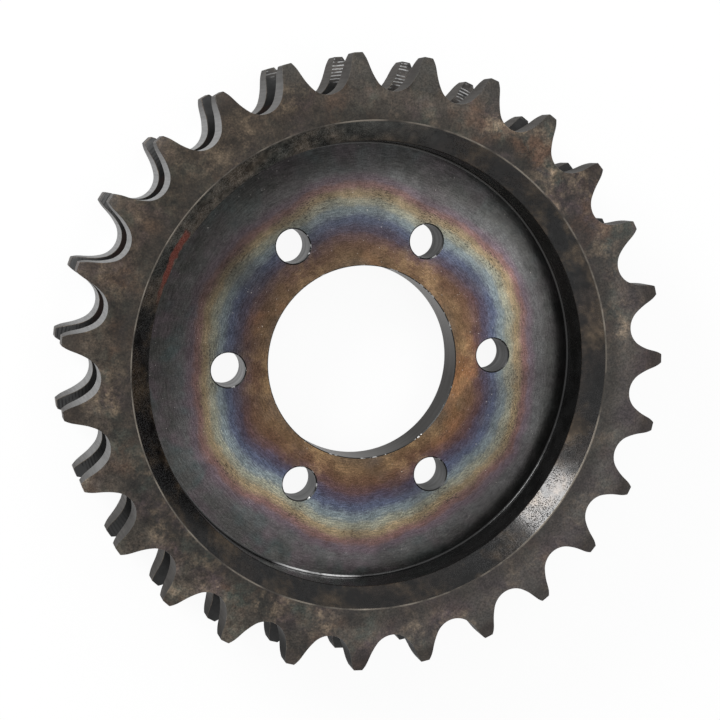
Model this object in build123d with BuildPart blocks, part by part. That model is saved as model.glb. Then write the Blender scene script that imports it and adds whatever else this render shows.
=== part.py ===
from build123d import *
import os
from math import cos, isclose, radians, sin, tan

# Duplex chain sprocket, turned from one steel blank, with two rows of teeth on one rim,
# a dished web, a plain bore and a circle of bolt holes. All lengths are in millimetres.
#
# Frame: +Z runs along the bore axis towards the deep side of the dish, +X passes through
# the middle of a tooth, and the origin is on the axis, midway between the two tooth rows.

# Chain: one-inch pitch roller chain with two strands
chain_pitch = 25.4
roller_dia = 15.875
strand_spacing = 29.29
tooth_count = 27

# Tooth form of the American standard: seat and flank curves in shares of the roller
seat_ratio = 1.005
seat_allowance = 0.076
working_offset_ratio = 0.8
topping_offset_ratio = 1.4
seat_end_base = 35
seat_end_share = 60
working_sweep_base = 18
working_sweep_share = 56

# Toothed rim
tooth_width = 14.15
tip_height = 5.9  # of the tips over the pitch circle
relief_height = 12.7  # of the curved relief on both sides of each row
relief_depth = 3.175  # taken off each side of a tooth at its tip
relief_steps = 2  # straight turned cuts that follow the relief's curve
groove_clearance = 0.38  # between the chain's link plates and the groove's floor
groove_foot_bevel = 1.0
rim_wall = 12.0  # from the groove's floor to the recess wall

# Dished web
front_recess_depth = 20.7
web_thickness = 14.0
recess_foot_bevel = 2.0
front_mouth_bevel = 7.15
rear_mouth_bevel = 2.0
mouth_edge_break = 0.4

# Bore and bolt holes
bore_dia = 73.8
bore_edge_break = 0.5
bolt_setback = 15.2  # from the bore's wall to the bolt centres
bolt_hole_dia = 13.0
bolt_hole_count = 6
bolt_edge_break = 0.3
bolt_clocking = 1.3  # degrees from the middle of a tooth to a bolt hole

# Pitch circle and tooth form worked out from the chain
half_pitch_angle = 180 / tooth_count
pitch_radius = chain_pitch / 2 / sin(radians(half_pitch_angle))
tip_radius = pitch_radius + tip_height
seat_radius = (seat_ratio * roller_dia + seat_allowance) / 2
seat_end_angle = seat_end_base + seat_end_share / tooth_count
working_sweep = working_sweep_base - working_sweep_share / tooth_count
flank_angle = seat_end_angle - working_sweep
working_offset = working_offset_ratio * roller_dia
topping_offset = topping_offset_ratio * roller_dia
working_radius = seat_radius + working_offset
topping_turn = radians(flank_angle - half_pitch_angle)
topping_radius = (
    working_offset * cos(radians(working_sweep)) + topping_offset * cos(topping_turn) - working_radius
)
flank_length = topping_offset * sin(topping_turn) - working_offset * sin(radians(working_sweep))

# Radii and heights of the blank
groove_radius = chain_pitch / 2 * (1 / tan(radians(half_pitch_angle)) - 1) - groove_clearance
recess_radius = groove_radius - rim_wall
bore_radius = bore_dia / 2
bolt_circle_radius = bore_radius + bolt_setback
rim_width = strand_spacing + tooth_width
front_face = rim_width / 2
rear_face = -front_face
web_front = front_face - front_recess_depth
web_rear = web_front - web_thickness


def tooth_row():
    """Section of one row of teeth, with both sides relieved towards the tips in steps along an arc."""
    half_width = tooth_width / 2
    relief_radius = tip_radius - relief_height
    with BuildSketch() as row:
        with BuildLine():
            side = Polyline((recess_radius, 0), (recess_radius, half_width), (relief_radius, half_width))
            relief_curve = TangentArc(
                side @ 1, (tip_radius, half_width - relief_depth), tangent=(1, 0), mode=Mode.PRIVATE
            )
            relief = Polyline(*(relief_curve @ (step / relief_steps) for step in range(relief_steps + 1)))
            Line(relief @ 1, (tip_radius, 0))
            mirror(about=Plane.XZ)
        make_face()
    return row.sketch


def tooth_gap():
    """Outline of the gap between two teeth, centred on +X and open past the tips."""
    topping_end = -30
    run_out_length = 2 * roller_dia
    seat_end = radians(seat_end_angle)
    seat_centre = Vector(pitch_radius, 0)
    working_centre = seat_centre + Vector(sin(seat_end), -cos(seat_end)) * working_offset
    half_pitch = radians(half_pitch_angle)
    topping_centre = seat_centre + Vector(-sin(half_pitch), cos(half_pitch)) * topping_offset
    topping_start = flank_angle - 90
    with BuildSketch() as gap:
        with BuildLine():
            CenterArc(seat_centre, seat_radius, 180, seat_end_angle - 90)
            working = CenterArc(working_centre, working_radius, 90 + seat_end_angle, -working_sweep)
            flank = PolarLine(working @ 1, flank_length, flank_angle)
            topping = CenterArc(topping_centre, topping_radius, topping_start, topping_end - topping_start)
            run_out = PolarLine(topping @ 1, run_out_length, 2 * half_pitch_angle)
            Line(run_out @ 1, ((run_out @ 1).X, 0))
            mirror(about=Plane.XZ)
        make_face()
    return gap.sketch


def ring_edges(builder, radius, height):
    """Round edges of a part that have one radius and lie at one height."""
    return builder.edges().filter_by(GeomType.CIRCLE).filter_by(
        lambda edge: isclose(edge.radius, radius, rel_tol=1e-6)
        and isclose(edge.arc_center.Z, height, abs_tol=1e-6)
    )


row_section = tooth_row()
gap_outline = tooth_gap()

with BuildPart() as sprocket:
    # Turned blank: rim, two tooth rows and web in one section
    with BuildSketch(Plane.XZ):
        with Locations((recess_radius, 0)):
            Rectangle(rim_wall, rim_width, align=(Align.MIN, Align.CENTER))
        with Locations((0, web_rear)):
            Rectangle(groove_radius, web_thickness, align=(Align.MIN, Align.MIN))
        with Locations((0, strand_spacing / 2), (0, -strand_spacing / 2)):
            add(row_section)
    revolve(axis=Axis.Z)

    # Bevelled corners at the foot of the groove and of both recesses
    groove_half_width = (strand_spacing - tooth_width) / 2
    for height in (groove_half_width, -groove_half_width):
        chamfer(ring_edges(sprocket, groove_radius, height), groove_foot_bevel)
    for height in (web_front, web_rear):
        chamfer(ring_edges(sprocket, recess_radius, height), recess_foot_bevel)

    # Bevelled mouths of the recesses, the front one with its sharp corner broken
    chamfer(ring_edges(sprocket, recess_radius, rear_face), rear_mouth_bevel)
    chamfer(ring_edges(sprocket, recess_radius, front_face), front_mouth_bevel)
    chamfer(ring_edges(sprocket, recess_radius + front_mouth_bevel, front_face), mouth_edge_break)

    # Bore and bolt holes, with their edges broken
    Hole(bore_radius)
    with PolarLocations(bolt_circle_radius, bolt_hole_count, start_angle=bolt_clocking):
        Hole(bolt_hole_dia / 2)
    for height in (web_front, web_rear):
        chamfer(ring_edges(sprocket, bore_radius, height), bore_edge_break)
        chamfer(ring_edges(sprocket, bolt_hole_dia / 2, height), bolt_edge_break)

    # Tooth gaps, cut through both rows at once
    with BuildSketch(Plane.XY):
        with PolarLocations(0, tooth_count, start_angle=half_pitch_angle):
            add(gap_outline)
    extrude(amount=rim_width, both=True, mode=Mode.SUBTRACT)

sprocket.part.label = "sprocket"
os.makedirs("parts", exist_ok=True)
export_step(sprocket.part, "parts/sprocket.step")
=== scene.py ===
from functools import cached_property
from math import atan, cos, hypot, pi, radians, sin, tan

import bpy
from mathutils import Euler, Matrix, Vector


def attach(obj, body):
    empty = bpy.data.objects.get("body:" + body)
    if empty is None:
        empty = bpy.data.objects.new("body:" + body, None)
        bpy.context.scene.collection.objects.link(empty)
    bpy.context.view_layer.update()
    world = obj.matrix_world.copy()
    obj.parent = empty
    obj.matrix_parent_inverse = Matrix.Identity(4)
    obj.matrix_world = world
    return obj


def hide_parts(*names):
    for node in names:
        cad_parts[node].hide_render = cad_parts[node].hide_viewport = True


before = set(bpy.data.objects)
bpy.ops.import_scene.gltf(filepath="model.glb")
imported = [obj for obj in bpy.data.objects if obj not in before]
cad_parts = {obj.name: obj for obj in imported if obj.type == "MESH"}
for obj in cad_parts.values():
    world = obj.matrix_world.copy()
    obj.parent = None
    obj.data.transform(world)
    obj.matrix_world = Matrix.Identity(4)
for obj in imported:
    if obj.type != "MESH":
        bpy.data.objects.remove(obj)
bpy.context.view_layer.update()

# ---------------------------------------------------------------------------
# Turned blank
# The sprocket starts as one disc of medium-carbon steel, turned all over in a
# lathe: rim with two tooth rows and the groove between them, the dished web and
# the bore. Its half section is drawn as a line and spun round the bore.
# ---------------------------------------------------------------------------
mm = 0.001
tooth_count = 27
chain_pitch = 25.4 * mm
roller_radius = 15.875 / 2 * mm
row_spacing = 29.29 * mm
row_width = 14.15 * mm
tip_height = 5.9 * mm
relief_height = 12.7 * mm
relief_depth = 3.175 * mm
chain_clearance = 0.38 * mm
rim_thickness = 12 * mm
web_set_back = 20.7 * mm
web_thickness = 14 * mm
bore_radius = 36.9 * mm
front_bevel = 7.15 * mm
rear_bevel = 2 * mm
recess_fillet = 0.8 * mm
groove_fillet = 1.5 * mm
worn_break = 0.32 * mm

half_pitch = pi / tooth_count
pitch_radius = chain_pitch / 2 / sin(half_pitch)
tip_radius = pitch_radius + tip_height
relief_turn = 2 * atan(relief_depth / relief_height)
relief_radius = relief_height / sin(relief_turn)
relief_start = tip_radius - relief_height
groove_radius = chain_pitch / 2 * (1 / tan(half_pitch) - 1) - chain_clearance
groove_side = (row_spacing - row_width) / 2
recess_radius = groove_radius - rim_thickness
mouth_radius = recess_radius + front_bevel
front_face = (row_spacing + row_width) / 2
web_front = front_face - web_set_back
web_rear = web_front - web_thickness

relief_steps = 6
fillet_steps = 4
break_steps = 2
bore_steps = 1
round_steps = 20 * tooth_count
same_point = 0.001 * mm
seam_reach = 0.005 * mm
corner_reach = 0.02 * mm
bore_axis = (0, 0, 1)


def start_line(name, x, y, z):
    """A new mesh piece of one point, open in edit mode."""
    bpy.ops.object.select_all(action="DESELECT")
    bpy.ops.mesh.primitive_plane_add(size=mm, location=(0, 0, 0))
    piece = bpy.context.object
    piece.name = name
    bpy.ops.object.mode_set(mode="EDIT")
    bpy.ops.mesh.select_all(action="SELECT")
    bpy.ops.mesh.merge(type="CENTER")
    bpy.ops.transform.translate(value=(x, y, z))
    return piece


def draw(x, y, z):
    """The line, or the face, goes on by this much from its last place."""
    bpy.ops.mesh.extrude_region_move(TRANSFORM_OT_translate={"value": (x, y, z)})


def arc(steps, turn, centre, axis=bore_axis):
    """The line goes on round a centre."""
    bpy.ops.mesh.spin(steps=steps, angle=turn, center=centre, axis=axis)


def weld(reach):
    """Joins all points that lie closer together than this."""
    bpy.ops.mesh.select_all(action="SELECT")
    bpy.ops.mesh.remove_doubles(threshold=reach)


def face_outward():
    """Turns every face so that its front looks out of the steel."""
    bpy.ops.mesh.select_all(action="SELECT")
    bpy.ops.mesh.normals_make_consistent(inside=False)


def pick_points(piece, wanted):
    """Selects the points of a piece that pass a test of their place."""
    bpy.ops.mesh.select_mode(type="VERT")
    bpy.ops.mesh.select_all(action="DESELECT")
    bpy.ops.object.mode_set(mode="OBJECT")
    for point in piece.data.vertices:
        point.select = wanted(point.co)
    bpy.ops.object.mode_set(mode="EDIT")


def round_corners(piece, size, steps, *corners):
    """Rounds the corners of a half section, each given by its radius and height."""
    pick_points(piece, lambda point: any(
        hypot(point.x - x, point.z - z) < corner_reach for x, z in corners
    ))
    bpy.ops.mesh.bevel(offset=size, segments=steps, affect="VERTICES")


sprocket = start_line("double_sprocket", bore_radius, 0, web_rear)
draw(recess_radius - bore_radius, 0, 0)
draw(0, 0, -front_face + rear_bevel - web_rear)
draw(rear_bevel, 0, -rear_bevel)
draw(relief_start - recess_radius - rear_bevel, 0, 0)
for row in (-1, 1):
    low = row * row_spacing / 2 - row_width / 2
    high = low + row_width
    arc(relief_steps, relief_turn, (relief_start, 0, low + relief_radius), axis=(0, 1, 0))
    draw(0, 0, row_width - 2 * relief_depth)
    arc(relief_steps, relief_turn, (relief_start, 0, high - relief_radius), axis=(0, 1, 0))
    if row < 0:
        draw(groove_radius - relief_start, 0, 0)
        draw(0, 0, row_spacing - row_width)
        draw(relief_start - groove_radius, 0, 0)
draw(mouth_radius - relief_start, 0, 0)
draw(-front_bevel, 0, -front_bevel)
draw(0, 0, web_front - front_face + front_bevel)
draw(bore_radius - recess_radius, 0, 0)
draw(0, 0, web_rear - web_front)
weld(same_point)
round_corners(
    sprocket, groove_fillet, fillet_steps,
    (groove_radius, groove_side), (groove_radius, -groove_side),
)
round_corners(
    sprocket, recess_fillet, fillet_steps,
    (recess_radius, web_front), (recess_radius, web_rear),
)
round_corners(
    sprocket, worn_break, break_steps,
    (mouth_radius, front_face), (recess_radius, front_face - front_bevel),
    (recess_radius + rear_bevel, -front_face), (recess_radius, -front_face + rear_bevel),
)
round_corners(
    sprocket, worn_break, bore_steps,
    (bore_radius, web_front), (bore_radius, web_rear),
)
bpy.ops.mesh.select_all(action="SELECT")
arc(round_steps, 2 * pi, (0, 0, 0))
weld(seam_reach)
face_outward()
bpy.ops.object.mode_set(mode="OBJECT")

# ---------------------------------------------------------------------------
# Tooth gaps
# The teeth are milled with a form cutter, both rows in one pass: the roller's
# seat, the working curve, a short flat and the topping curve on each side.
# ---------------------------------------------------------------------------
seat_radius = 1.005 * roller_radius + 0.038 * mm
seat_end = radians(35 + 60 / tooth_count)
working_sweep = radians(18 - 56 / tooth_count)
working_offset = 1.6 * roller_radius
topping_offset = 2.8 * roller_radius
flank_slope = seat_end - working_sweep
topping_turn = flank_slope - half_pitch
topping_end = radians(60)
flat_length = topping_offset * sin(topping_turn) - working_offset * sin(working_sweep)
run_out = 30 * mm
cutter_depth = 60 * mm
cutter_rear = -cutter_depth / 2
seat_centre = (pitch_radius, 0, cutter_rear)
working_centre = (
    pitch_radius + working_offset * sin(seat_end), -working_offset * cos(seat_end), cutter_rear
)
topping_centre = (
    pitch_radius - topping_offset * sin(half_pitch), topping_offset * cos(half_pitch), cutter_rear
)
seat_steps = topping_steps = 8
working_steps = 4

gap_cutter = start_line("gap_cutter", pitch_radius - seat_radius, 0, cutter_rear)
arc(seat_steps, pi / 2 - seat_end, seat_centre)
arc(working_steps, working_sweep, working_centre)
draw(flat_length * cos(flank_slope), flat_length * sin(flank_slope), 0)
arc(topping_steps, flank_slope - topping_end, topping_centre)
draw(run_out * cos(2 * half_pitch), run_out * sin(2 * half_pitch), 0)
bpy.ops.mesh.select_all(action="SELECT")
bpy.ops.mesh.duplicate()
bpy.ops.transform.resize(value=(1, -1, 1), center_override=(0, 0, 0))
weld(same_point)
bpy.ops.mesh.edge_face_add()
draw(0, 0, cutter_depth)
face_outward()
bpy.ops.transform.rotate(value=-half_pitch, orient_axis="Z", center_override=(0, 0, 0))
bpy.ops.mesh.spin(
    steps=tooth_count - 1, angle=2 * pi - 2 * half_pitch, dupli=True,
    center=(0, 0, 0), axis=bore_axis,
)
bpy.ops.object.mode_set(mode="OBJECT")


def cut(piece, cutter):
    """Cuts one piece with another, which is then thrown away."""
    bpy.ops.object.select_all(action="DESELECT")
    piece.select_set(True)
    bpy.context.view_layer.objects.active = piece
    difference = piece.modifiers.new("cut", "BOOLEAN")
    difference.operation = "DIFFERENCE"
    difference.solver = "EXACT"
    difference.object = cutter
    bpy.ops.object.modifier_apply(modifier="cut")
    bpy.data.objects.remove(cutter)


cut(sprocket, gap_cutter)

# ---------------------------------------------------------------------------
# Bolt holes
# Six clearance holes drilled through the web on one circle, which is turned a
# little from the teeth. A larger drill has taken the edge off both ends.
# ---------------------------------------------------------------------------
bolt_count = 6
hole_steps = 64
bolt_circle = bore_radius + 15.2 * mm
bolt_clocking = radians(1.3)
drill_radius = 6.5 * mm
drill_overrun = 10 * mm
flare_depth = 0.45 * mm
flare_size = 0.5 * mm
drill_length = web_front - web_rear - 2 * flare_depth
end_reach = 0.01 * mm
hole_centre = (
    bolt_circle * cos(bolt_clocking), bolt_circle * sin(bolt_clocking), (web_front + web_rear) / 2
)

bpy.ops.object.select_all(action="DESELECT")
bpy.ops.mesh.primitive_cylinder_add(
    vertices=hole_steps, radius=drill_radius, depth=drill_length, location=hole_centre
)
drill = bpy.context.object
bpy.ops.object.transform_apply()
bpy.ops.object.mode_set(mode="EDIT")
wider = (drill_radius + flare_size) / drill_radius
for way in (1, -1):
    end = hole_centre[2] + way * drill_length / 2
    pick_points(drill, lambda point: abs(point.z - end) < end_reach)
    draw(0, 0, way * flare_size)
    bpy.ops.transform.resize(value=(wider, wider, 1), center_override=hole_centre)
    draw(0, 0, way * drill_overrun)
face_outward()
bpy.ops.mesh.spin(
    steps=bolt_count - 1, angle=(bolt_count - 1) / bolt_count * 2 * pi, dupli=True,
    center=(0, 0, 0), axis=bore_axis,
)
bpy.ops.object.mode_set(mode="OBJECT")
cut(sprocket, drill)

# ---------------------------------------------------------------------------
# Broken edges
# Every sharp corner that the cutters leave is taken off with a file, so that
# no edge cuts a hand or a roller.
# ---------------------------------------------------------------------------
finishes = (
    "rim_scale", "broken_edge", "milled_flank", "groove_black", "row_side", "mouth_bevel",
    "recess_wall", "tempered_web", "bored_wall", "drilled_wall", "worn_mouth_edge", "hole_edge",
    "rear_scale",
)
off_axis_point = (173 * mm, 311 * mm, 59 * mm)
sliver_reach = 0.12 * mm
filed_width = 0.2 * mm
filed_steps = 2
sharp_turn = radians(30)
shaded_turn = radians(40)

for finish in finishes:
    sprocket.data.materials.append(bpy.data.materials.new(finish))
bpy.ops.object.select_all(action="DESELECT")
sprocket.select_set(True)
bpy.context.view_layer.objects.active = sprocket
bpy.ops.object.mode_set(mode="EDIT")
# The cuts leave their points in no fixed order, so they are sorted before the weld by their
# distance from a point off to one side. The weld then gives the same result each time.
bpy.context.scene.cursor.location = off_axis_point
bpy.ops.mesh.select_all(action="SELECT")
bpy.ops.mesh.sort_elements(type="CURSOR_DISTANCE", elements={"VERT", "EDGE", "FACE"})
weld(sliver_reach)
bpy.ops.mesh.select_mode(type="EDGE")
bpy.ops.mesh.select_all(action="DESELECT")
bpy.ops.mesh.edges_select_sharp(sharpness=sharp_turn)
bpy.ops.object.mode_set(mode="OBJECT")
points = sprocket.data.vertices
for edge in sprocket.data.edges:
    if edge.select:
        edge.select = all(hypot(*points[end].co.xy) > groove_radius + mm for end in edge.vertices)
bpy.ops.object.mode_set(mode="EDIT")
bpy.ops.mesh.bevel(
    offset=filed_width, segments=filed_steps, affect="EDGES", clamp_overlap=False,
    material=finishes.index("broken_edge"),
)
bpy.ops.object.mode_set(mode="OBJECT")
bpy.ops.object.shade_smooth_by_angle(angle=shaded_turn)
even = sprocket.modifiers.new("even_shading", "WEIGHTED_NORMAL")
even.keep_sharp = True
bpy.ops.object.modifier_apply(modifier="even_shading")

# ---------------------------------------------------------------------------
# Surfaces of the sprocket
# Each surface looks the way it was made and used: scaled, milled, bored,
# drilled, oiled or tempered. Every face takes the finish of its place.
# ---------------------------------------------------------------------------
near = 0.1 * mm
hole_reach = 8 * mm


def finish_of(face):
    """The finish of a face, from its place and from how far it looks to the front."""
    radius = hypot(face.center.x, face.center.y)
    height = face.center.z
    front = face.normal.z
    slanted = 0.1 < abs(front) < 0.95
    half_slanted = 0.72 < front < 0.98
    level = front > 0.99
    upright = abs(front) < 0.02
    at_hole = abs(radius - bolt_circle) < hole_reach and web_rear - mm < height < web_front + mm
    if face.material_index == finishes.index("broken_edge"):
        return "broken_edge"
    if slanted and (at_hole or radius < bore_radius + mm):
        return "hole_edge"
    if half_slanted and abs(radius - mouth_radius) < worn_break and height > 0:
        return "worn_mouth_edge"
    if radius < recess_radius + near:
        if height <= web_rear + near:
            return "rear_scale"
        if level:
            return "tempered_web"
        if radius < bolt_circle + hole_reach:
            return "drilled_wall" if at_hole else "bored_wall"
        return "recess_wall" if height > web_front - near else "rear_scale"
    if radius < mouth_radius and height > 0:
        return "mouth_bevel"
    if upright and radius > groove_radius + 2 * mm:
        return "milled_flank" if radius < tip_radius - 2 * near else "rim_scale"
    if abs(height) < groove_side + corner_reach:
        return "groove_black"
    if height < 0:
        return "row_side" if front > 0.05 else "rear_scale"
    return "groove_black" if front < -0.05 else "rim_scale"


for face in sprocket.data.polygons:
    face.material_index = finishes.index(finish_of(face))

# ---------------------------------------------------------------------------
# Rim finish
# The rim and the outer sides of the teeth keep the dark scale of the heat
# treatment, rubbed thin to brown and tan flecks, with rust here and there. One
# side of it has been wiped and is smoother and greyer.
# ---------------------------------------------------------------------------


def node(tree, kind, settings=None, **inputs):
    """One node with its settings. Inputs go by name, or by number as n0, n1 and so on."""
    made = tree.nodes.new("ShaderNode" + kind)
    for key, value in (settings or {}).items():
        setattr(made, key, value)
    for key, value in inputs.items():
        numbered = key[0] == "n" and key[1:].isdigit()
        socket = made.inputs[int(key[1:]) if numbered else key.replace("_", " ")]
        if isinstance(value, bpy.types.NodeSocket):
            tree.links.new(value, socket)
        else:
            socket.default_value = value
    return made


def grey(level):
    """A plain grey, from black at 0 to white at 1."""
    return (level, level, level)


class Finish:
    """One finish of the sprocket: its shader, and the colour laid on so far.

    Scales are per metre, radii are in millimetres and sides are turns in
    degrees. A share is 0 where nothing shows and 1 where it covers all.
    """

    def __init__(self, name, metallic, roughness, tint=None):
        material = bpy.data.materials[name]
        material.use_nodes = True
        self.tree = material.node_tree
        self.shader = self.tree.nodes["Principled BSDF"]
        self.shader.inputs["Metallic"].default_value = metallic
        self.shader.inputs["Roughness"].default_value = roughness
        if tint:
            self.shader.inputs["Specular Tint"].default_value = (*tint, 1)
        self.where = node(self.tree, "TexCoord").outputs["Object"]

    def math(self, operation, *values):
        """The result of one step of arithmetic."""
        inputs = {f"n{index}": value for index, value in enumerate(values)}
        return node(self.tree, "Math", {"operation": operation}, **inputs).outputs[0]

    def vector(self, operation, *values):
        """The result of one step of arithmetic on places."""
        inputs = {f"n{index}": value for index, value in enumerate(values)}
        made = node(self.tree, "VectorMath", {"operation": operation}, **inputs)
        return made.outputs["Value" if operation == "DOT_PRODUCT" else "Vector"]

    def scaled(self, what, amount):
        """A place or a colour times a number."""
        made = node(self.tree, "VectorMath", {"operation": "SCALE"}, Vector=what, Scale=amount)
        return made.outputs[0]

    def times(self, first, *others):
        """Shares multiplied together."""
        for other in others:
            first = self.math("MULTIPLY", first, other)
        return first

    def between(self, value, low, high, start=0.0, end=1.0):
        """A value taken from one span to another, and kept inside it."""
        span = node(
            self.tree, "MapRange",
            Value=value, From_Min=low, From_Max=high, To_Min=start, To_Max=end,
        )
        return span.outputs[0]

    def radius_from(self, where):
        """Distance from the bore axis in millimetres."""
        x, y, _ = node(self.tree, "SeparateXYZ", Vector=where).outputs
        squares = self.math("ADD", self.times(x, x), self.times(y, y))
        return self.times(self.math("SQRT", squares), 1000.0)

    @cached_property
    def radius(self):
        """Distance of the point from the bore axis in millimetres."""
        return self.radius_from(self.where)

    @cached_property
    def turn(self):
        """Turn of the point round the bore axis in radians."""
        x, y, _ = node(self.tree, "SeparateXYZ", Vector=self.where).outputs
        return self.math("ARCTAN2", y, x)

    def ring(self, start, end, least=0.0, most=1.0):
        """A share that grows from one radius to another."""
        return self.between(self.radius, start, end, least, most)

    def toward(self, side):
        """How far the point lies to one side, from -1 to 1 across the sprocket."""
        direction = Vector((cos(radians(side)), sin(radians(side)), 0))
        return self.vector("DOT_PRODUCT", self.where, direction / tip_radius)

    def on_side(self, side, start, end, least=0.0, most=1.0):
        """A share that grows towards one side."""
        return self.between(self.toward(side), start, end, least, most)

    def cloud(self, scale, detail=4.0, roughness=0.55, where=None):
        """Plain noise round 0.5."""
        where = self.where if where is None else where
        noise = node(
            self.tree, "TexNoise", Vector=where, Scale=scale, Detail=detail, Roughness=roughness
        )
        return noise.outputs[0]

    def patches(self, scale, detail=4.0, low=0.4, high=0.6, roughness=0.55, where=None):
        """Soft patches: a share that grows from one level of the noise to another."""
        return self.between(self.cloud(scale, detail, roughness, where), low, high)

    def tool_lines(self, scale, low, high):
        """Fine lines that a tool leaves, by a scale for each axis."""
        stretched = node(self.tree, "Mapping", Vector=self.where, Scale=scale).outputs[0]
        return self.patches(1, 3, low, high, where=stretched)

    def lathe_place(self, across, along):
        """Places stretched round the bore axis, as lathe marks run, with no seam."""
        flat = self.vector("MULTIPLY", self.where, (1, 1, 0))
        unit = self.vector("NORMALIZE", flat)
        deep = node(self.tree, "CombineXYZ", X=0.0, Y=0.0, Z=self.times(self.radius, across))
        return self.vector("ADD", self.scaled(unit, along), deep.outputs[0])

    def mix(self, share, first, second):
        """One colour going over into another by a share."""
        first, second = (
            colour if isinstance(colour, bpy.types.NodeSocket) else (*colour, 1)
            for colour in (first, second)
        )
        made = node(self.tree, "Mix", {"data_type": "RGBA"}, n0=share, n6=first, n7=second)
        return made.outputs[2]

    def coat(self, colour, *shares):
        """Lays one more colour over the rest, by its shares multiplied together."""
        self.colour = self.mix(self.times(*shares), self.colour, colour)

    def dim(self, level):
        """Makes the colour darker below a level of 1 and lighter above it."""
        self.colour = self.scaled(self.colour, level)

    def grain(self, scale, strength, detail=2.0, roughness=0.6, where=None):
        """Makes light and dark specks in the colour."""
        noise = self.cloud(scale, detail, roughness, where)
        self.dim(self.between(noise, 0.32, 0.68, 1 - strength, 1 + strength))

    def done(self, roughness=None, height=None, relief=0.0):
        """Joins the colour, and a roughness and surface height if any, to the shader."""
        self.tree.links.new(self.colour, self.shader.inputs["Base Color"])
        if roughness is not None:
            self.tree.links.new(roughness, self.shader.inputs["Roughness"])
        if height is not None:
            bump = node(self.tree, "Bump", Height=height, Distance=relief, Strength=1.0)
            self.tree.links.new(bump.outputs[0], self.shader.inputs["Normal"])


# Sides are turns round the bore in degrees, from +X towards +Y.
wiped_side = -35
darker_rim_side = 136
pale_side = -145
top_side = 82
scale_relief = 0.06 * mm

dark_scale = (0.026, 0.024, 0.020)
brown_scale = (0.046, 0.037, 0.029)
green_scale = (0.042, 0.050, 0.041)
purple_scale = (0.059, 0.040, 0.042)
rubbed_scale = (0.090, 0.066, 0.048)
black_scale = (0.011, 0.010, 0.009)
tan_fleck = (0.175, 0.132, 0.090)
rust = (0.090, 0.050, 0.031)
darker_side_scale = (0.026, 0.018, 0.011)
pale_scale = (0.100, 0.082, 0.064)
wiped_grey = (0.074, 0.068, 0.063)
wiped_purple = (0.056, 0.047, 0.049)
dull_tip = (0.018, 0.013, 0.010)
dull_mouth = (0.020, 0.018, 0.015)
bright_band = (0.110, 0.093, 0.078)
wiped_tooth = (0.043, 0.041, 0.036)


def lay_scale(steel):
    """Dark scale with brown, green and purple patches, tan flecks and small rust spots."""
    steel.colour = steel.mix(steel.patches(30, 4, 0.42, 0.58), dark_scale, brown_scale)
    steel.coat(green_scale, steel.patches(73, 4, 0.5, 0.6), 0.85)
    steel.coat(purple_scale, steel.patches(61, 4, 0.5, 0.6), 0.85)
    steel.coat(rubbed_scale, steel.patches(190, 6, 0.46, 0.62, 0.75), 0.75)
    steel.coat(black_scale, steel.patches(120, 6, 0.48, 0.6, 0.75), 0.8)
    steel.coat(
        tan_fleck, steel.patches(55, 3, 0.46, 0.6), steel.patches(210, 6, 0.48, 0.64, 0.65)
    )
    steel.coat(rust, steel.patches(42, 2, 0.5, 0.6), steel.patches(120, 5, 0.48, 0.6), 0.6)
    # The rim is darker towards one side.
    steel.coat(darker_side_scale, steel.on_side(darker_rim_side, 0.3, 0.8, 0.0, 0.6))
    steel.coat(pale_scale, steel.on_side(pale_side, 0.5, 0.9, 0.0, 0.4), steel.ring(98.0, 104.0))
    steel.grain(36, 0.35, 3, 0.5)
    steel.grain(110, 0.98, 8, 0.9)
    wiped = steel.mix(steel.patches(60, 5, 0.4, 0.6), wiped_grey, wiped_purple)
    steel.coat(wiped, steel.on_side(wiped_side, 0.1, 0.85, 0.0, 0.7))
    steel.coat(dull_tip, steel.ring(107.5, 110.5), steel.patches(26, 2, 0.42, 0.54), 0.65)
    steel.coat(dull_mouth, steel.ring(99.0, 94.0), steel.patches(20, 2, 0.36, 0.5), 0.55)
    at_top = steel.on_side(top_side, 0.78, 0.9)
    steel.coat(bright_band, steel.ring(90.0, 94.0), steel.ring(103.0, 101.0), at_top, 0.45)
    tooth_wave = steel.math("COSINE", steel.times(steel.turn, float(tooth_count)))
    on_tooth = steel.between(tooth_wave, 0.0, 0.4)
    steel.coat(wiped_tooth, steel.ring(102.2, 103.0), at_top, on_tooth, 0.7)
    steel.grain(1500, 0.4)


steel = Finish("rim_scale", 0.55, 0.5)
lay_scale(steel)
steel.done(
    roughness=steel.between(steel.cloud(150, 5), 0.3, 0.7, 0.4, 0.62),
    height=steel.math("ADD", steel.cloud(420, 5), steel.cloud(1500, 3)),
    relief=scale_relief,
)

steel = Finish("broken_edge", 0.55, 0.45)
lay_scale(steel)
steel.done()

steel = Finish("rear_scale", 0.55, 0.5)
lay_scale(steel)
steel.done(height=steel.cloud(420, 5), relief=scale_relief)

worn_dark = (0.045, 0.040, 0.035)
worn_light = (0.17, 0.15, 0.125)
steel = Finish("worn_mouth_edge", 0.8, 0.4)
steel.colour = steel.mix(steel.patches(80, 6, 0.42, 0.6), worn_dark, worn_light)
steel.done()

# ---------------------------------------------------------------------------
# Tooth finishes
# The milled gaps are clean grey steel with fine cutter lines across the rows, painted lighter
# towards one side as lit and painted dark at the bottom as shade. The inner sides of the rows and
# the groove stay black, with the lathe's last rings on the row sides near some tips, painted
# bright as glints on the top teeth.
# ---------------------------------------------------------------------------
lit_flank_side = 157
shaded_flank_side = -95
dull_side = 172
milled_dark = (0.080, 0.073, 0.068)
milled_light = (0.140, 0.132, 0.124)
milled_stain = (0.052, 0.048, 0.044)
groove_rust = (0.024, 0.012, 0.009)
ring_steel = (0.066, 0.058, 0.052)
ring_pitch = 1.25  # millimetres

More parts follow.
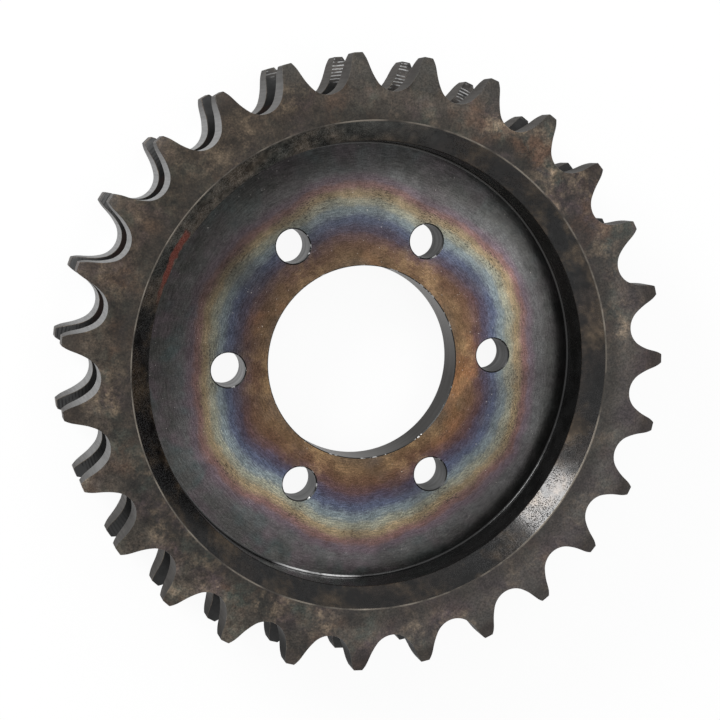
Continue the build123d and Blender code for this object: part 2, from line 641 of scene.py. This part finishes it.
steel = Finish("milled_flank", 0.9, 0.42, tint=grey(0.4))
lines = steel.tool_lines((1500, 1500, 60), 0.3, 0.7)
steel.colour = steel.mix(lines, milled_dark, milled_light)
steel.coat(milled_stain, steel.patches(45, 3, 0.45, 0.6), 0.5)
# Painted light: the flanks towards one side are painted lighter, as where they face the lamp and
# the pale floor.
painted_lit_flank = steel.mix(lines, grey(0.32), grey(0.44))
steel.coat(painted_lit_flank, steel.ring(117.0, 107.0), steel.on_side(lit_flank_side, 0.52, 0.76))
# Painted shade: the flanks at the bottom are painted nearly black.
steel.coat(grey(0.006), steel.on_side(shaded_flank_side, 0.82, 0.9), 0.9)
steel.done(height=lines, relief=0.004 * mm)

steel = Finish("groove_black", 0.5, 0.5)
steel.colour = steel.mix(steel.patches(150), grey(0.006), grey(0.012))
steel.coat(groove_rust, steel.patches(70, 3, 0.5, 0.62), 0.7)
steel.done()

steel = Finish("row_side", 0.5, 0.45)
even_rings = steel.times(steel.radius, 2 * pi / ring_pitch)
comb = steel.math("SINE", steel.math("MULTIPLY_ADD", steel.cloud(90, 2), 9.0, even_rings))
ring_glints = steel.times(steel.between(comb, 0.3, 0.8), steel.patches(300, 3, 0.46, 0.56))
ringed_glint_side = steel.on_side(top_side, 0.87, 0.92)
dull = steel.on_side(dull_side, 0.6, 0.8)
steel.colour = steel.mix(steel.patches(300), grey(0.006), grey(0.014))
steel.coat(ring_steel, ringed_glint_side, steel.patches(200, 3, 0.4, 0.65))
steel.coat(grey(0.03), dull, steel.ring(103.0, 108.0), 0.8)
steel.coat(
    grey(0.004), dull, steel.between(comb, 0.1, 0.5), steel.patches(170, 3, 0.46, 0.56)
)
# Painted glints: the lathe rings on the row sides of the top teeth are painted bright.
steel.coat(grey(0.3), ringed_glint_side, ring_glints)
steel.done()

# ---------------------------------------------------------------------------
# Recess bevel and wall
# Both are black and oily from use, dusty on one side, and the bevel is painted darker towards
# some sides as shade. The bevel carries a stroke of red marking paint, and a short painted
# highlight lies along the foot of the wall.
# ---------------------------------------------------------------------------
bevel_gloss = 0.42
oil_dark = (0.012, 0.012, 0.012)
oil_brown = (0.030, 0.023, 0.019)
oil_black = (0.005, 0.005, 0.005)
brown_fleck = (0.080, 0.057, 0.036)
dust_green = (0.058, 0.059, 0.053)
dust_tan = (0.095, 0.080, 0.065)
paint_red = (0.21, 0.050, 0.034)
bevel_dust_side = 122
shaded_bevel_sides = (
    # side, where the painted shade starts, level of the colour that is left
    (-158, 0.3, 0.45),
    (68, 0.55, 0.4),
    (-78, 0.45, 0.33),
    (-18, 0.5, 0.45),
)

steel = Finish("mouth_bevel", 0.3, 0.3)
steel.shader.inputs["Specular IOR Level"].default_value = bevel_gloss
steel.colour = steel.mix(steel.patches(40, 5, 0.42, 0.62), oil_dark, oil_brown)
steel.coat(oil_black, steel.patches(150, 5, 0.48, 0.62), 0.8)
steel.coat(brown_fleck, steel.patches(60, 4, 0.48, 0.64, 0.6), 0.8)
# Painted shade: the bevel is darker towards each of these sides.
for shade_side, start, level in shaded_bevel_sides:
    steel.dim(steel.on_side(shade_side, start, 0.75, 1.0, level))
dust = steel.mix(steel.patches(60, 5, 0.4, 0.6), dust_green, dust_tan)
steel.coat(dust, steel.on_side(bevel_dust_side, 0.5, 0.7, 0.0, 0.9))
steel.grain(1700, 0.2)
steel.grain(1.0, 0.5, where=steel.lathe_place(0.5, 30.0))
steel.grain(120, 0.6, 6, 0.8)

# The paint stroke slants over the bevel, narrows, has a ragged edge and lifts at both ends.
paint_start = radians(143)
paint_end = radians(163)
paint_radius = recess_radius / mm + 2.5
along = steel.between(steel.turn, paint_start, paint_end)
middle = steel.math("MULTIPLY_ADD", along, -1.9, paint_radius)
off_line = steel.math("ABSOLUTE", steel.math("SUBTRACT", steel.radius, middle))
rags = steel.math("MULTIPLY_ADD", steel.cloud(350, 4), 2.6, -1.3)
half_width = steel.math("MULTIPLY_ADD", along, -0.9, 1.55)
inside = steel.math("SUBTRACT", half_width, steel.math("ADD", off_line, rags))
stroke = steel.between(inside, -0.25, 0.25)
first_touch = steel.between(steel.turn, paint_start, paint_start + 0.02)
last_touch = steel.between(steel.turn, paint_end, paint_end - 0.12)
steel.coat(paint_red, stroke, steel.times(first_touch, last_touch), 0.75)
speckle = steel.times(steel.patches(2300, 1, 0.5, 0.58), steel.patches(70, 4, 0.38, 0.52))
steel.done(
    roughness=steel.between(speckle, 0.0, 1.0, 0.13, 0.6),
    height=steel.cloud(900, 3), relief=0.005 * mm,
)

dusty_wall_side = 65
foot_glint_side = -103
foot_glint_heights = (web_front + 0.2 * mm, web_front + 0.4 * mm)
wall_dust_dark = (0.009, 0.008, 0.007)
wall_dust_light = (0.018, 0.016, 0.014)
steel = Finish("recess_wall", 0.25, 0.16)
steel.colour = steel.mix(steel.patches(150), grey(0.004), grey(0.010))
wall_dust = steel.mix(steel.patches(110, 4), wall_dust_dark, wall_dust_light)
steel.coat(wall_dust, steel.on_side(dusty_wall_side, 0.3, 0.7))
height = node(steel.tree, "SeparateXYZ", Vector=steel.where).outputs[2]
# Painted highlight: a short bright line at the foot of the wall on one side, where its fillet
# catches a lamp.
low_down = steel.between(height, foot_glint_heights[1], foot_glint_heights[0])
painted_foot_glint = steel.times(low_down, steel.on_side(foot_glint_side, 0.704, 0.716))
steel.coat(grey(0.5), painted_foot_glint, steel.patches(160, 3, 0.36, 0.5))
steel.done(roughness=steel.between(steel.cloud(500, 3), 0.35, 0.65, 0.1, 0.3))

# ---------------------------------------------------------------------------
# Tempered web
# The bore was once heated, and the web shows the rings of temper colours that
# this left: bronze at the bore, then purple, blue, straw and rose, and slate
# towards the wall. They swell between the bolt holes and follow the lathe marks.
# ---------------------------------------------------------------------------
temper_rings = (
    (36.5, (0.071, 0.049, 0.032)),  # dull bronze
    (40.5, (0.076, 0.047, 0.027)),  # bronze
    (44.5, (0.065, 0.037, 0.024)),  # brown
    (48.0, (0.052, 0.031, 0.030)),  # purple brown
    (51.0, (0.038, 0.032, 0.045)),  # purple
    (54.5, (0.046, 0.053, 0.079)),  # dark blue
    (58.0, (0.096, 0.114, 0.120)),  # pale blue
    (61.0, (0.150, 0.149, 0.116)),  # pale straw
    (64.0, (0.158, 0.121, 0.074)),  # straw
    (67.0, (0.110, 0.065, 0.059)),  # rose
    (69.5, (0.076, 0.058, 0.067)),  # mauve
    (73.0, (0.061, 0.060, 0.060)),  # slate
    (78.0, (0.045, 0.045, 0.043)),  # dark slate
)
heat_centre = Vector((0.3, -1.2, 0)) * mm
oval_side = 35
bronze_tan = (0.195, 0.128, 0.066)
bronze_glow = (0.17, 0.080, 0.036)
web_stain = (0.030, 0.027, 0.027)
web_painted_shade = (0.022, 0.021, 0.019)
foot_dirt_and_shade = (0.010, 0.010, 0.010)
slate_green = (0.036, 0.049, 0.050)
slate_purple = (0.058, 0.044, 0.051)
pit_black = (0.010, 0.009, 0.009)
nick_glint = (0.3, 0.28, 0.26)
web_shade_side = 125
dirty_shaded_foot_sides = (
    # side, its start and end, the radii from clean to dirty and shaded
    (62, 0.0, 0.5, 73.0, 80.0),
    (84, 0.45, 0.72, 67.0, 74.0),
)
# Sides of the painted sheen on the web: brighter along one line, darker across it, a little
# brighter on one half.
painted_sheen_line = 58
painted_dull_line = 148
painted_sheen_half = -114

# The distance from the heat, made uneven by noise, the bolt holes and a slight oval.
steel = Finish("tempered_web", 1.0, 0.22, tint=grey(0.5))
heated = steel.vector("SUBTRACT", steel.where, heat_centre)
heat_radius = steel.radius_from(heated)
marks = steel.lathe_place(2.6, 26.0)
shifts = (
    # noise, and how far in millimetres it shifts the rings
    (steel.cloud(16, 2.0), 9.0),
    (steel.cloud(75, 3.0), 5.0),
    (steel.cloud(1.0, 3.0, 0.7, where=marks), 3.8),
)
for noise, reach in shifts:
    shift = steel.math("MULTIPLY_ADD", noise, reach, -reach / 2)
    heat_radius = steel.math("ADD", heat_radius, shift)
by_turn = steel.math("MULTIPLY_ADD", steel.turn, float(bolt_count), -bolt_count * bolt_clocking)
lobes = steel.math("COSINE", by_turn)
heat_radius = steel.math("ADD", heat_radius, steel.math("MULTIPLY_ADD", lobes, 1.7, 0.6))
oval = steel.math("COSINE", steel.math("MULTIPLY_ADD", steel.turn, 2.0, -2 * radians(oval_side)))
heat_radius = steel.math("ADD", heat_radius, steel.times(oval, 0.7))

# Each distance takes the colour of its ring.
first, last = temper_rings[0][0], temper_rings[-1][0]
ramp = node(steel.tree, "ValToRGB", Fac=steel.between(heat_radius, first, last))
ramp.color_ramp.interpolation = "EASE"
stops = ramp.color_ramp.elements
while len(stops) < len(temper_rings):
    stops.new(0.5)
for stop, (ring, colour) in zip(stops, temper_rings):
    stop.position = (ring - first) / (last - first)
    stop.color = (*colour, 1)
steel.colour = ramp.outputs[0]

# Over the rings lie tan rubbing at the bore, stains, painted shade towards one side, and dirt
# with painted shade at the foot of the wall.
by_holes = steel.math("MULTIPLY_ADD", lobes, 0.25, 0.33)
steel.coat(
    bronze_tan, steel.patches(130, 5, 0.45, 0.62, 0.65), steel.ring(50.0, 41.0), by_holes
)
steel.coat(bronze_glow, steel.patches(38, 4, 0.56, 0.7), steel.ring(49.0, 45.0), 0.55)
steel.coat(web_stain, steel.patches(50, 4, 0.5, 0.68), 0.45)
# Painted shade: the web is darker towards one side.
steel.coat(web_painted_shade, steel.on_side(web_shade_side, -0.05, 0.5, 0.0, 0.45))
# Dirt and painted shade darken the web at the foot of the wall on its upper sides.
for shade_side, start, end, unshaded, dark in dirty_shaded_foot_sides:
    steel.coat(foot_dirt_and_shade, steel.ring(unshaded, dark), steel.on_side(shade_side, start, end), 0.72)
slate_tint = steel.mix(steel.patches(45, 2, 0.46, 0.54), slate_green, slate_purple)
steel.coat(
    slate_tint, steel.between(heat_radius, 67.0, 72.0), steel.patches(85, 4, 0.42, 0.6, 0.65),
    steel.on_side(pale_side, -0.1, 0.4, 0.12, 0.5),
)
# Painted sheen: the web is painted brighter along one line through the bore and darker across it,
# as a turned face shines under a lamp, then grained.
sheen_way = steel.toward(painted_sheen_line)
dull_way = steel.toward(painted_dull_line)
uneven = steel.math(
    "SUBTRACT", steel.times(sheen_way, sheen_way), steel.times(dull_way, dull_way)
)
uneven = steel.math("ADD", uneven, steel.times(steel.toward(painted_sheen_half), 0.11))
steel.dim(steel.between(uneven, -0.3, 0.3, 0.74, 1.3))
steel.grain(200, 0.28, 6, 0.8)
steel.grain(1.0, 0.25, where=marks)
steel.grain(1900, 0.25)
# Small pits in the straw rings, and a few bright nicks painted as glints.
pitted = steel.times(
    steel.between(heat_radius, 58.5, 61.0), steel.between(heat_radius, 68.5, 66.5)
)
pits = steel.patches(2.0, 2, 0.545, 0.6, where=marks)
steel.coat(pit_black, pits, steel.patches(45, 3, 0.45, 0.55), pitted, 0.85)
steel.coat(nick_glint, steel.patches(1500, 2, 0.73, 0.77), steel.patches(30, 2, 0.45, 0.55))
steel.done(
    roughness=steel.between(steel.cloud(90, 5), 0.3, 0.7, 0.16, 0.3),
    height=steel.times(steel.cloud(1.0, 3.0, where=marks), steel.ring(72.0, 64.0, 0.4, 1.0)),
    relief=0.025 * mm,
)

# ---------------------------------------------------------------------------
# Bore and bolt holes
# The walls are bright steel with the rings of the boring tool and the drill, painted darker
# towards one side as shade. Their edges are black with a few painted glints.
# ---------------------------------------------------------------------------
shaded_bore_side = -32
shaded_hole_side = -10


def lay_bright_steel(steel, lines, shade_share, unshaded, shaded_greys):
    """Tool lines between a dark and a light grey, one pair where the wall is lit and one pair for
    its painted shade.
    """
    dark, light = (steel.mix(shade_share, grey(lit_level), grey(shade_level)) for lit_level, shade_level in zip(unshaded, shaded_greys))
    steel.colour = steel.mix(lines, dark, light)


steel = Finish("bored_wall", 1.0, 0.36, tint=(0.35, 0.34, 0.33))
lines = steel.tool_lines((30, 30, 1800), 0.3, 0.7)
# Painted shade: the bore wall is darker towards one side.
shade_share = steel.on_side(shaded_bore_side, 0.1, 0.3)
lay_bright_steel(steel, lines, shade_share, unshaded=(0.36, 0.46), shaded_greys=(0.09, 0.15))
steel.done(height=lines, relief=0.01 * mm)

steel = Finish("drilled_wall", 1.0, 0.34, tint=grey(0.35))
lines = steel.tool_lines((40, 40, 420), 0.35, 0.65)
# Painted shade: the hole walls are darker towards one side.
shade_share = steel.on_side(shaded_hole_side, -0.4, 0.0)
lay_bright_steel(steel, lines, shade_share, unshaded=(0.34, 0.56), shaded_greys=(0.13, 0.22))
steel.done(height=lines, relief=0.02 * mm)

steel = Finish("hole_edge", 0.6, 0.4)
# Painted glints: a few bright specks on the black edges.
steel.colour = steel.mix(steel.patches(420, 2, 0.6, 0.64), grey(0.008), grey(0.45))
steel.done()

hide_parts("sprocket")
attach(sprocket, "root")

# ---------------------------------------------------------------------------
# Floor, light and camera
# A pale floor under the sprocket, soft light from above and one camera.
# ---------------------------------------------------------------------------
floor_size = 8
floor_gap = 0.01 * mm
shadow_share = 0.07
plain_grey = 0.8
room_strength = 0.6

bpy.ops.object.select_all(action="DESELECT")
bpy.ops.mesh.primitive_plane_add(size=floor_size, location=(0, 0, -front_face - floor_gap))
floor = bpy.context.object
floor.name = "floor"


def seen_directly(tree):
    """1 for rays from the camera, off gloss and through glass, 0 for scattered light."""
    path = node(tree, "LightPath").outputs
    seen = path["Is Camera Ray"]
    for ray in ("Is Glossy Ray", "Is Transmission Ray"):
        seen = node(tree, "Math", {"operation": "MAXIMUM"}, n0=seen, n1=path[ray]).outputs[0]
    return seen


pale = bpy.data.materials.new("pale_floor")
pale.use_nodes = True
floor.data.materials.append(pale)
tree = pale.node_tree
tree.nodes.remove(tree.nodes["Principled BSDF"])
white = node(tree, "Emission", Strength=1 - shadow_share)
shaded = node(tree, "BsdfDiffuse", Color=(*grey(shadow_share), 1))
lit = node(tree, "AddShader", n0=white.outputs[0], n1=shaded.outputs[0])
plain = node(tree, "BsdfDiffuse", Color=(*grey(plain_grey), 1))
surface = node(
    tree, "MixShader", n0=seen_directly(tree), n1=plain.outputs[0], n2=lit.outputs[0]
)
tree.links.new(surface.outputs[0], tree.nodes["Material Output"].inputs["Surface"])

world = bpy.data.worlds.new("studio")
bpy.context.scene.world = world
world.use_nodes = True
tree = world.node_tree
room = tree.nodes["Background"]
room.inputs["Color"].default_value = (1, 1, 1, 1)
room.inputs["Strength"].default_value = room_strength
backdrop = node(tree, "Background", Color=(1, 1, 1, 1), Strength=1.0)
surface = node(
    tree, "MixShader", n0=seen_directly(tree), n1=room.outputs[0], n2=backdrop.outputs[0]
)
tree.links.new(surface.outputs[0], tree.nodes["World Output"].inputs["Surface"])


def softbox(name, spot, size, power):
    """A square lamp that faces the sprocket."""
    bpy.ops.object.light_add(type="AREA", location=spot)
    lamp = bpy.context.object
    lamp.name = name
    lamp.data.energy = power
    lamp.data.size = size
    lamp.rotation_euler = Vector(spot).to_track_quat("Z", "Y").to_euler()


softbox("key", (-0.9, 0.8, 0.55), size=0.45, power=14)
softbox("top", (0.35, 0.9, 0.9), size=0.5, power=2)
softbox("overhead", (0.465, -0.09, 1.32), size=0.5, power=1.4)

camera_data = bpy.data.cameras.new("camera")
camera = bpy.data.objects.new("camera", camera_data)
bpy.context.scene.collection.objects.link(camera)
bpy.context.scene.camera = camera
camera.location = (-160.61 * mm, 77.91 * mm, 590.01 * mm)
camera.rotation_euler = Euler((-0.12666, -0.26006, 0))
camera_data.sensor_width = 36
camera_data.lens = 80.839
camera_data.shift_x = 0.00922
camera_data.shift_y = 0.00278
bpy.context.scene.view_settings.view_transform = "Standard"
